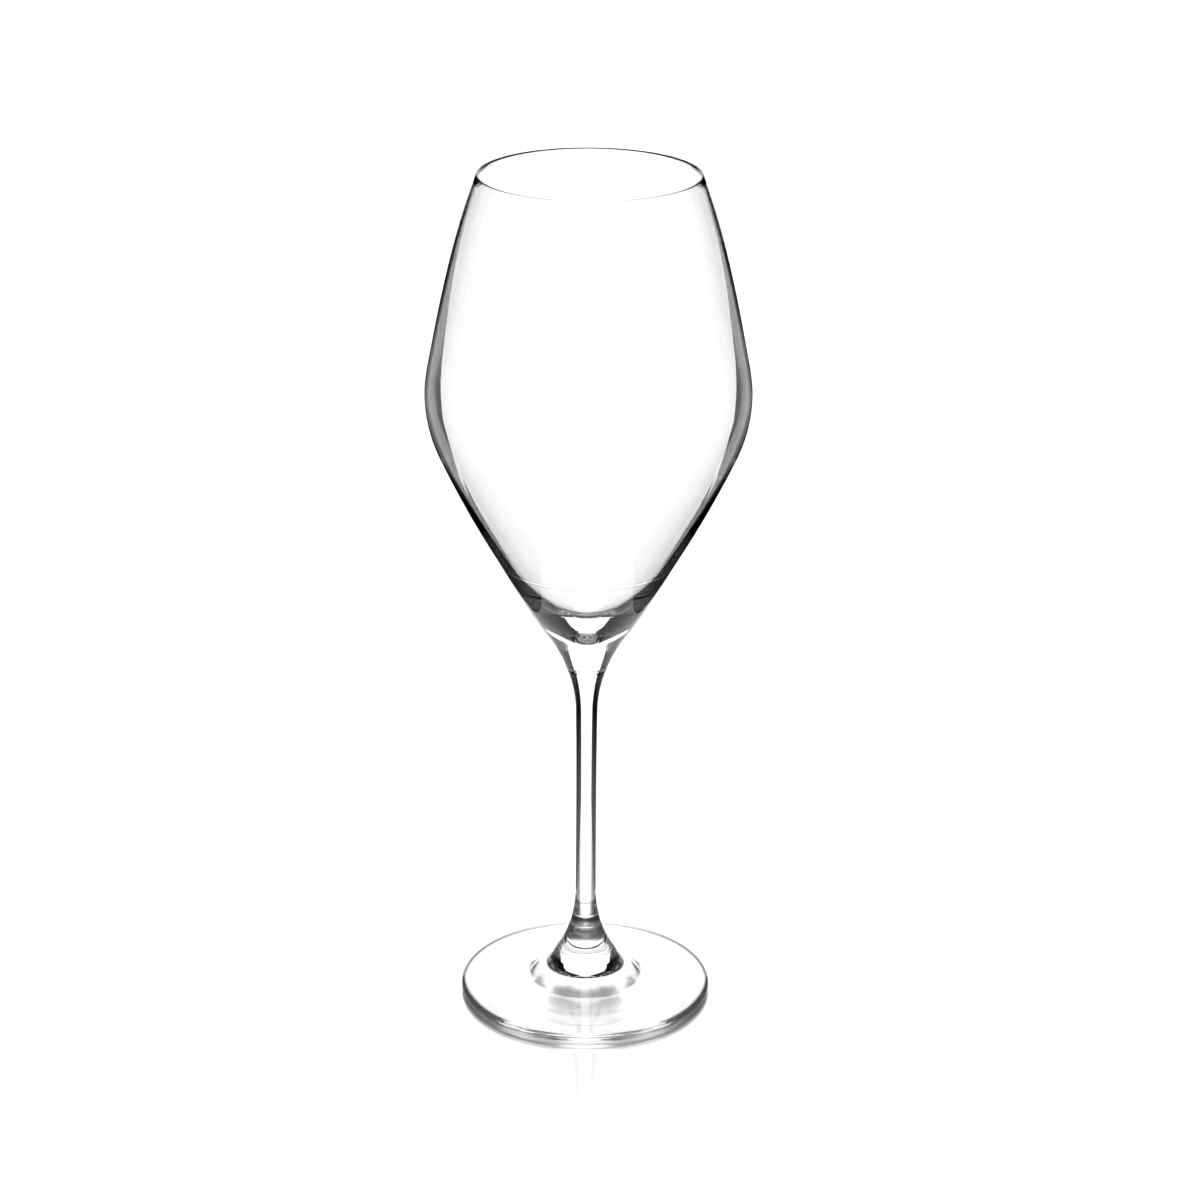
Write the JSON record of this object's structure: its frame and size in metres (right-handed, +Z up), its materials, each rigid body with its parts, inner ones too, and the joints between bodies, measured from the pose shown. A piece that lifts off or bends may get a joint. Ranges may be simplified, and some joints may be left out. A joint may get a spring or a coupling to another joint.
{
  "type": "wine glass",
  "caption": "Clear stemmed wine glass: wide-shouldered blown bowl narrowing to a thin lip, slender solid stem, and a round foot with a rounded rim.",
  "frame": {"origin": "centre of the circle on which the foot rests, on the glass's own axis", "axes": "+Z up along the glass's axis from the foot to the lip; the glass is round, so +X and +Y are any two square directions"},
  "size_m": [0.0922, 0.0922, 0.25],
  "materials": {
    "bowl_glass": "clear polished",
    "stem_glass": "clear fire-polished",
    "foot_glass": "clear fire-polished"
  },
  "bodies": {
    "root": {"bowl": "bowl_glass", "stem": "stem_glass", "foot": "foot_glass"}
  },
  "joints": []
}
